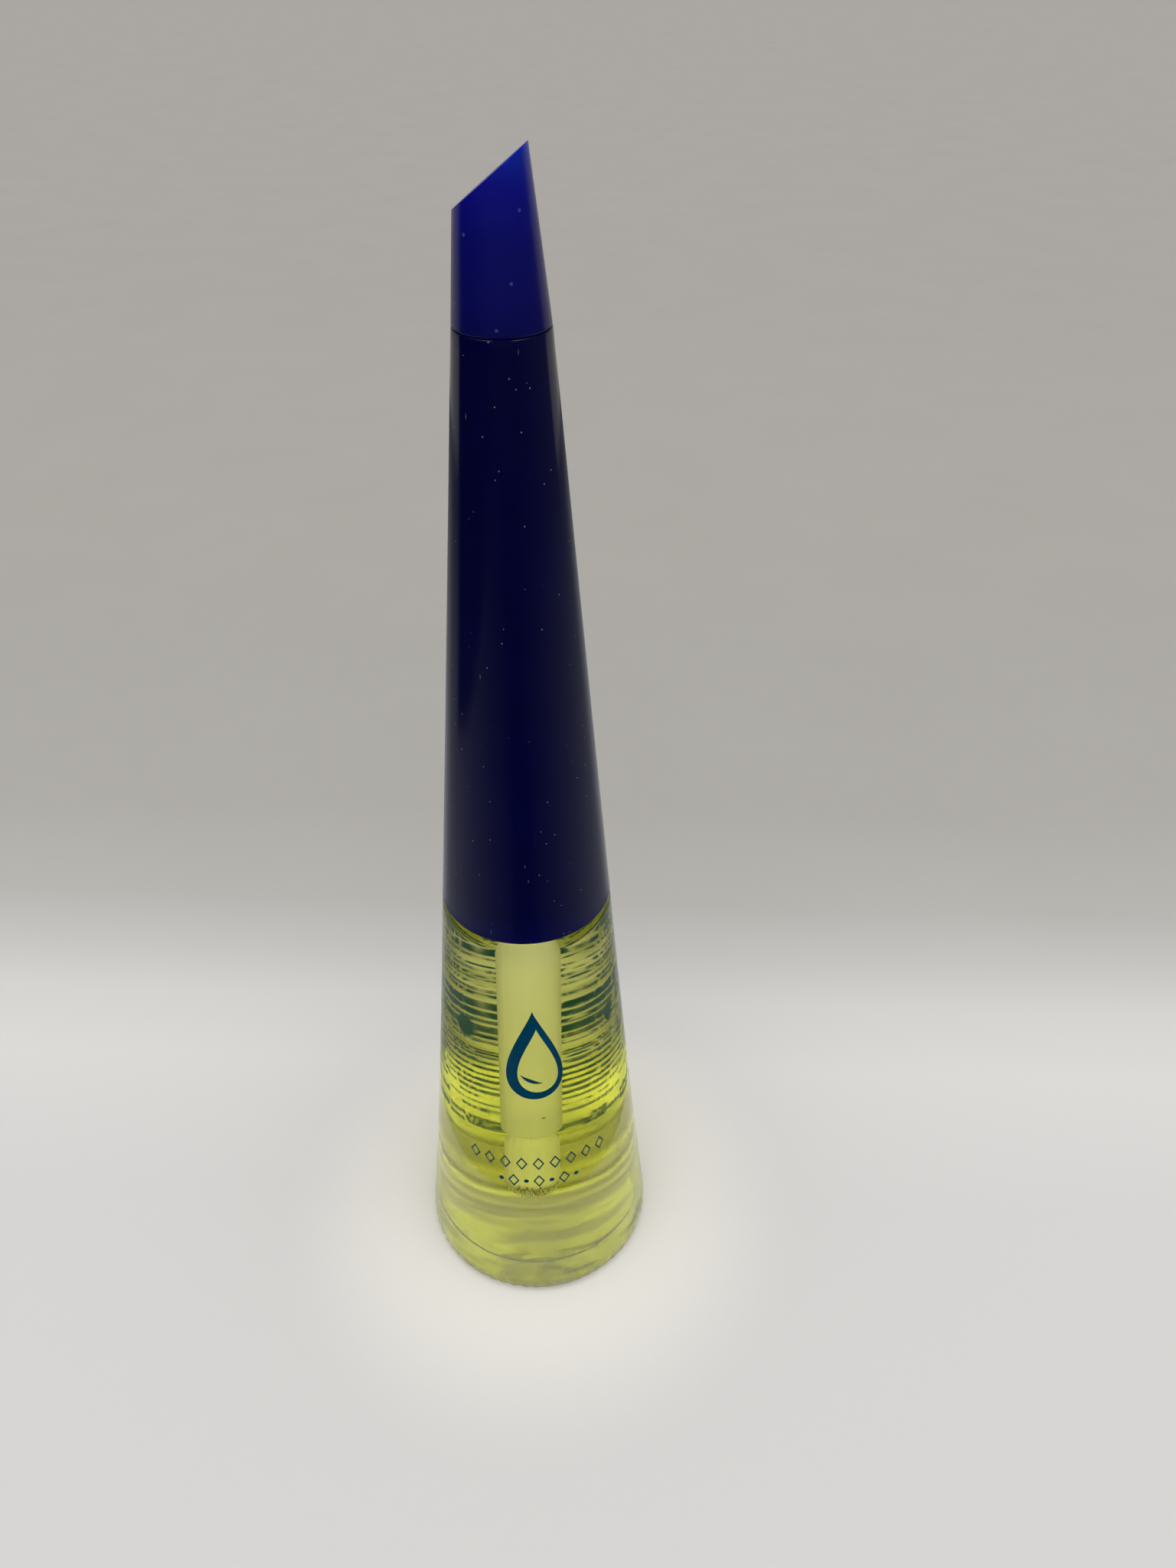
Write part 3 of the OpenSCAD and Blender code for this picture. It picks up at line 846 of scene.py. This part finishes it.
fv, ff, _r = lathe_data(core_prof, NFL * 6, disp=core_disp)
fv = [(x + lean(z), y, z) for x, y, z in fv]
NF = 230
for k in range(NF):
    q = math.sqrt((k + 0.5) / NF)
    th = k * 2.399963
    x0, y0 = 1.31 * q * math.cos(th), 1.31 * q * math.sin(th)
    jx, jy = rng.uniform(-0.07, 0.07), rng.uniform(-0.07, 0.07)
    end = TUFT_Z + 0.1 + 1.9 * q ** 2.4 + rng.uniform(0, 0.5)
    start = TUFT_Z + 1.5 + 1.9 * q ** 2.6
    rad = rng.uniform(0.052, 0.062)
    rows = []
    for s in range(6):
        t = s / 5
        z = start + (end - start) * t
        spread = tuft_spread(z)
        x = x0 * spread + jx * t
        y = y0 * spread + jy * t
        rr = rad * (1 - 0.4 * smooth(t, 0.85, 1.0))
        x += lean(z)
        rows.append([(x + rr * math.cos(c * math.pi / 4), y + rr * math.sin(c * math.pi / 4), z) for c in range(8)])
    b0 = len(fv)
    for r in rows:
        fv += r
    for s in range(5):
        for c in range(8):
            n = (c + 1) % 8
            p, p2 = b0 + s * 8, b0 + (s + 1) * 8
            ff.append((p + c, p2 + c, p2 + n, p + n))
    ff.append(tuple(b0 + c for c in range(8)))
    ff.append(tuple(b0 + 40 + 7 - c for c in range(8)))
tuft = finish_mesh("bristles", fv, ff, [BRISTLE], "applicator", 60.0)
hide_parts("bristle_tuft")

# ---------------------------------------------------------------- overcap and tip
LIP_IN = SCX + math.sqrt(SHOULDER_R ** 2 - (RIM_Z - SCZ) ** 2) + 0.1
over = [(LIP_IN + 0.04, RIM_Z + 0.0), (RIM_R - 0.24, RIM_Z)]
over += arc(RIM_R - 0.245, RIM_Z + 0.24, 0.24, 0.24, -75, -6, 6)
ZA, ZB = RIM_Z + 0.30, SEAM_Z - 0.14
over += [(overcap_r(ZA + (ZB - ZA) * i / 60), ZA + (ZB - ZA) * i / 60) for i in range(61)]
over += [(overcap_r(ZB) - 0.03, SEAM_Z - 0.07), (SEAM_R - 0.15, SEAM_Z), (2.3, SEAM_Z), (2.25, SEAM_Z - 0.06),
         (2.25, SEAM_Z - 2.2)]
TI, BZ = SEAM_Z - 2.8, RIM_Z + 0.95
over += [(overcap_r(TI + (BZ - TI) * i / 30) - OVER_T, TI + (BZ - TI) * i / 30) for i in range(31)]
overcap = lathe("overcap_shell", over, 224, [NAVY], "cap", closed=True, sharp=38.0)
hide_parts("overcap")


def make_tip():
    bm = bmesh.new()
    prof = [(0.0, SEAM_Z - 3.2), (1.9, SEAM_Z - 3.2), (2.22, SEAM_Z - 2.9), (2.22, SEAM_Z + 0.02),
            (SEAM_R - 0.17, SEAM_Z + 0.02), (SEAM_R - 0.08, SEAM_Z + 0.05), (SEAM_R - 0.025, SEAM_Z + 0.16)]
    top = TIP_HIGH + 2
    prof += [(SEAM_R - TAPER * (0.2 + (top - 0.2) * i / 40) - 0.004, SEAM_Z + 0.2 + (top - 0.2) * i / 40)
             for i in range(41)]
    prof += [(0.0, SEAM_Z + top)]
    v, f, _ = lathe_data(prof, 160)
    bv = [bm.verts.new(p) for p in v]
    for q in f:
        bm.faces.new([bv[i] for i in q])
    r_hi = SEAM_R - TAPER * TIP_HIGH
    r_lo = SEAM_R - TAPER * TIP_LOW
    s = math.atan2(TIP_HIGH - TIP_LOW, r_hi + r_lo)
    t = math.radians(TIP_TURN)
    co = Vector((r_hi * math.cos(t), r_hi * math.sin(t), SEAM_Z + TIP_HIGH))
    no = Vector((-math.sin(s) * math.cos(t), -math.sin(s) * math.sin(t), math.cos(s)))
    cut = bmesh.ops.bisect_plane(bm, geom=bm.verts[:] + bm.edges[:] + bm.faces[:], dist=1e-5,
                                 plane_co=co, plane_no=no, clear_outer=True)
    edges = [g for g in cut["geom_cut"] if isinstance(g, bmesh.types.BMEdge)]
    bmesh.ops.holes_fill(bm, edges=edges, sides=0)
    bmesh.ops.recalc_face_normals(bm, faces=bm.faces[:])
    rim = [e for e in bm.edges if len(e.link_faces) == 2 and any(len(x.verts) > 20 for x in e.link_faces)
           and all(abs((v.co - co).dot(no)) < 1e-3 for v in e.verts)]
    bmesh.ops.bevel(bm, geom=rim, offset=0.16, offset_type="OFFSET", segments=4, profile=0.5, affect="EDGES",
                    clamp_overlap=True)
    for w in bm.verts:
        # pressed in a touch askew
        w.co.x -= 0.021 * max(0.0, w.co.z - SEAM_Z)
        w.co *= MM
    me = bpy.data.meshes.new("tip_body")
    bm.to_mesh(me)
    bm.free()
    me.materials.append(COBALT)
    me.polygons.foreach_set("use_smooth", [True] * len(me.polygons))
    me.set_sharp_from_angle(angle=math.radians(38))
    ob = bpy.data.objects.new("tip_body", me)
    bpy.context.scene.collection.objects.link(ob)
    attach(ob, "cap")
    return ob


tip = make_tip()
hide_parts("cap_tip")

# ---------------------------------------------------------------- CAD nodes that keep their shape
for name, mat in (("inner_closure", CLOSURE), ("seal_washer", WASHER)):
    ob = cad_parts[name]
    if not ob.material_slots:
        ob.data.materials.append(mat)
    for s in ob.material_slots:
        s.material = mat

# ---------------------------------------------------------------- floor
fm, nt, b, out = material("floor_paper")
geo = node(nt, "ShaderNodeNewGeometry")
sep = node(nt, "ShaderNodeSeparateXYZ")
nt.links.new(geo.outputs["Position"], sep.inputs[0])
# the pale sheet ends in a soft bend behind the object and runs on in shade, painted into the floor's colour, which
# turns darker further back
run = math_node(nt, "MULTIPLY_ADD", sep.outputs["X"], 0.11, sep.outputs["Y"])
far = maprange(nt, run, 0.0, 0.45, 0.0, 1.0)
tone = ramp(nt, far, [(0.0, (0.496, 0.489, 0.487)), (0.050, (0.525, 0.519, 0.512)), (0.080, (0.489, 0.482, 0.472)),
                      (0.102, (0.416, 0.409, 0.399)), (0.130, (0.349, 0.341, 0.328)), (0.190, (0.308, 0.300, 0.286)),
                      (0.330, (0.296, 0.288, 0.273)), (0.440, (0.296, 0.286, 0.270)), (1.0, (0.289, 0.275, 0.261))])
# and the glass throws a little light on to it close by, painted as a brighter floor colour near the base
rr = math_node(nt, "SQRT", math_node(nt, "ADD", math_node(nt, "MULTIPLY", sep.outputs["X"], sep.outputs["X"]),
                                     math_node(nt, "MULTIPLY", sep.outputs["Y"], sep.outputs["Y"])))
tone = rgba_mix(nt, maprange(nt, rr, 0.015, 0.036, 1.0, 0.0, kind="SMOOTHSTEP"), tone, (1.22, 1.21, 1.15), "MULTIPLY")
mott = noise(nt, geo.outputs["Position"], 30.0, 5.0, 0.6)
tone = rgba_mix(nt, maprange(nt, mott, 0.35, 0.65, 0.0, 0.03), tone, (0.5, 0.5, 0.5))
nt.links.new(tone, b.inputs["Base Color"])
b.inputs["Roughness"].default_value = 0.75
b.inputs["Specular IOR Level"].default_value = 0.0
me = bpy.data.meshes.new("floor")
S = 4.0
me.from_pydata([(-S, -S, -2e-5), (S, -S, -2e-5), (S, S, -2e-5), (-S, S, -2e-5)], [], [(0, 1, 2, 3)])
me.materials.append(fm)
floor = bpy.data.objects.new("floor", me)
bpy.context.scene.collection.objects.link(floor)
floor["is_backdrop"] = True


# ---------------------------------------------------------------- reflection cards: only glossy rays meet them
def card_material(name, build):
    m = bpy.data.materials.new(name)
    m.use_nodes = True
    nt = m.node_tree
    nt.nodes.clear()
    out = node(nt, "ShaderNodeOutputMaterial")
    em = node(nt, "ShaderNodeEmission")
    nt.links.new(em.outputs[0], out.inputs["Surface"])
    build(nt, em)
    return m


def only_glossy(ob):
    ob.visible_camera = False
    ob.visible_diffuse = False
    ob.visible_transmission = False
    ob.visible_volume_scatter = False
    ob.visible_shadow = False
    ob.visible_glossy = True


def side_glow(nt, em):
    """Dark straight in front, lighter towards the sides, fading with distance."""
    geo = node(nt, "ShaderNodeNewGeometry")
    sep = node(nt, "ShaderNodeSeparateXYZ")
    nt.links.new(geo.outputs["Position"], sep.inputs[0])
    x, y = sep.outputs["X"], sep.outputs["Y"]
    ang = math_node(nt, "ARCTAN2", math_node(nt, "ABSOLUTE", x), math_node(nt, "MULTIPLY", y, -1.0))
    k = math_node(nt, "ADD", maprange(nt, ang, 0.12, 1.75, 0.004, 0.24, kind="SMOOTHSTEP"),
                  maprange(nt, ang, 2.15, 2.5, 0.0, 0.12, kind="SMOOTHSTEP"))
    # a narrow black stripe straight in front, a little to the left
    turn = math_node(nt, "ARCTAN2", x, math_node(nt, "MULTIPLY", y, -1.0))
    k = math_node(nt, "ADD", k, maprange(nt, math_node(nt, "ABSOLUTE", math_node(nt, "ADD", turn, 0.05)), 0.17, 0.36, 0.0, 0.028,
                                         kind="SMOOTHSTEP"))
    # beyond the sheet's left edge the room is dark
    edge = math_node(nt, "MAXIMUM", math_node(nt, "MULTIPLY_ADD", math_node(nt, "ADD", y, 0.065), 0.35, -0.18), -0.25)
    on_floor = maprange(nt, math_node(nt, "SUBTRACT", x, edge), -0.012, 0.008, 1.0, 0.0, kind="SMOOTHSTEP")
    lim = maprange(nt, sep.outputs["Z"], 0.0, 0.03, -0.75, -0.54)
    on_wall = maprange(nt, math_node(nt, "SUBTRACT", turn, lim), -0.06, 0.06, 1.0, 0.0, kind="SMOOTHSTEP")
    high = math_node(nt, "GREATER_THAN", sep.outputs["Z"], 0.0004)
    dark = math_node(nt, "ADD", math_node(nt, "MULTIPLY", on_floor, math_node(nt, "SUBTRACT", 1.0, high)),
                     math_node(nt, "MULTIPLY", on_wall, high))
    dark = math_node(nt, "MULTIPLY", dark, maprange(nt, turn, -1.95, -1.80, 0.0, 0.93, kind="SMOOTHSTEP"))
    k = math_node(nt, "MULTIPLY", k, math_node(nt, "SUBTRACT", 1.0, dark))
    dist = math_node(nt, "SQRT", math_node(nt, "ADD", math_node(nt, "MULTIPLY", x, x),
                                           math_node(nt, "MULTIPLY", y, y)))
    fall = maprange(nt, dist, 0.06, 0.34, 1.0, 0.25)
    nt.links.new(math_node(nt, "MULTIPLY", k, fall), em.inputs["Strength"])
    em.inputs["Color"].default_value = (0.98, 1.0, 1.03, 1)


def ring_card(name, r0, r1, a0, a1, z0, z1, n, mat):
    verts, faces = [], []
    for i in range(n + 1):
        a = math.radians(a0 + (a1 - a0) * i / n)
        verts.append((r0 * math.cos(a), r0 * math.sin(a), z0))
        verts.append((r1 * math.cos(a), r1 * math.sin(a), z1))
    for i in range(n):
        faces.append((2 * i, 2 * i + 1, 2 * i + 3, 2 * i + 2))
    me = bpy.data.meshes.new(name)
    me.from_pydata(verts, [], faces)
    me.materials.append(mat)
    ob = bpy.data.objects.new(name, me)
    bpy.context.scene.collection.objects.link(ob)
    only_glossy(ob)
    ob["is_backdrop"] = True
    return ob


GLOW = card_material("card_floor", side_glow)
ring_card("card_floor", 0.030, 0.36, -270, 90, 0.0003, 0.0003, 120, GLOW)
ring_card("card_wall", 0.36, 0.36, -200, 20, 0.0003, 0.22, 80, GLOW)

# ---------------------------------------------------------------- light
world = bpy.data.worlds.new("studio")
bpy.context.scene.world = world
world.use_nodes = True
wn = world.node_tree
wn.nodes.clear()
wo = node(wn, "ShaderNodeOutputWorld")
bg = node(wn, "ShaderNodeBackground")
wn.links.new(bg.outputs[0], wo.inputs["Surface"])
tc = node(wn, "ShaderNodeTexCoord")
sp = node(wn, "ShaderNodeSeparateXYZ")
wn.links.new(tc.outputs["Generated"], sp.inputs[0])
# a soft bright ceiling, a little to the front of straight overhead; the walls are dim
high = math_node(wn, "MULTIPLY_ADD", sp.outputs["Y"], -0.45, math_node(wn, "MULTIPLY", sp.outputs["Z"], 0.893))
grad = ramp(wn, maprange(wn, high, 0.0, 1.0, 0.0, 1.0),
            [(0.0, (0.300, 0.284, 0.270)), (0.50, (0.345, 0.333, 0.318)), (0.72, (1.42, 1.41, 1.39)),
             (0.86, (2.62, 2.61, 2.59)), (1.0, (3.05, 3.04, 3.02))])
wn.links.new(grad, bg.inputs["Color"])
bg.inputs["Strength"].default_value = 1.0


def area(name, loc, target, size, power, size_y=None, color=(1, 1, 1)):
    l = bpy.data.lights.new(name, "AREA")
    l.shape = "RECTANGLE" if size_y else "SQUARE"
    l.size = size
    if size_y:
        l.size_y = size_y
    l.energy = power
    l.color = color
    ob = bpy.data.objects.new(name, l)
    ob.location = loc
    ob.rotation_mode = "QUATERNION"
    ob.rotation_quaternion = (Vector(target) - Vector(loc)).to_track_quat("-Z", "Y")
    bpy.context.scene.collection.objects.link(ob)
    return ob


for lamp in (area("lamp_left", (-0.055, -0.36, 0.42), (0, 0, 0.05), 0.030, 0.020, 0.030, (1.0, 0.99, 0.95)),
             area("lamp_right", (0.075, -0.36, 0.42), (0, 0, 0.05), 0.024, 0.010, 0.024, (1.0, 0.99, 0.95))):
    # they give the small highlights and nothing else
    lamp.visible_diffuse = False
    lamp.visible_transmission = False
    lamp.visible_volume_scatter = False

# the dark body of the camera, met by reflections only
dm = bpy.data.materials.new("camera_body")
dm.use_nodes = True
dm.node_tree.nodes["Principled BSDF"].inputs["Base Color"].default_value = (0.02, 0.02, 0.02, 1)
me = bpy.data.meshes.new("camera_body")
cb = [cam_at - fwd * 0.006 + r2 * a + u2 * b for a, b in ((-0.040, -0.095), (0.040, -0.095), (0.040, 0.065), (-0.040, 0.065))]
me.from_pydata([tuple(v) for v in cb], [], [(0, 1, 2, 3)])
me.materials.append(dm)
body = bpy.data.objects.new("camera_body", me)
bpy.context.scene.collection.objects.link(body)
only_glossy(body)
body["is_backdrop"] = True

sc = bpy.context.scene
sc.view_settings.view_transform = "Standard"
sc.cycles.max_bounces = 22
sc.cycles.transmission_bounces = 22
sc.cycles.glossy_bounces = 6
sc.cycles.transparent_max_bounces = 12

lo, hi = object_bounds()
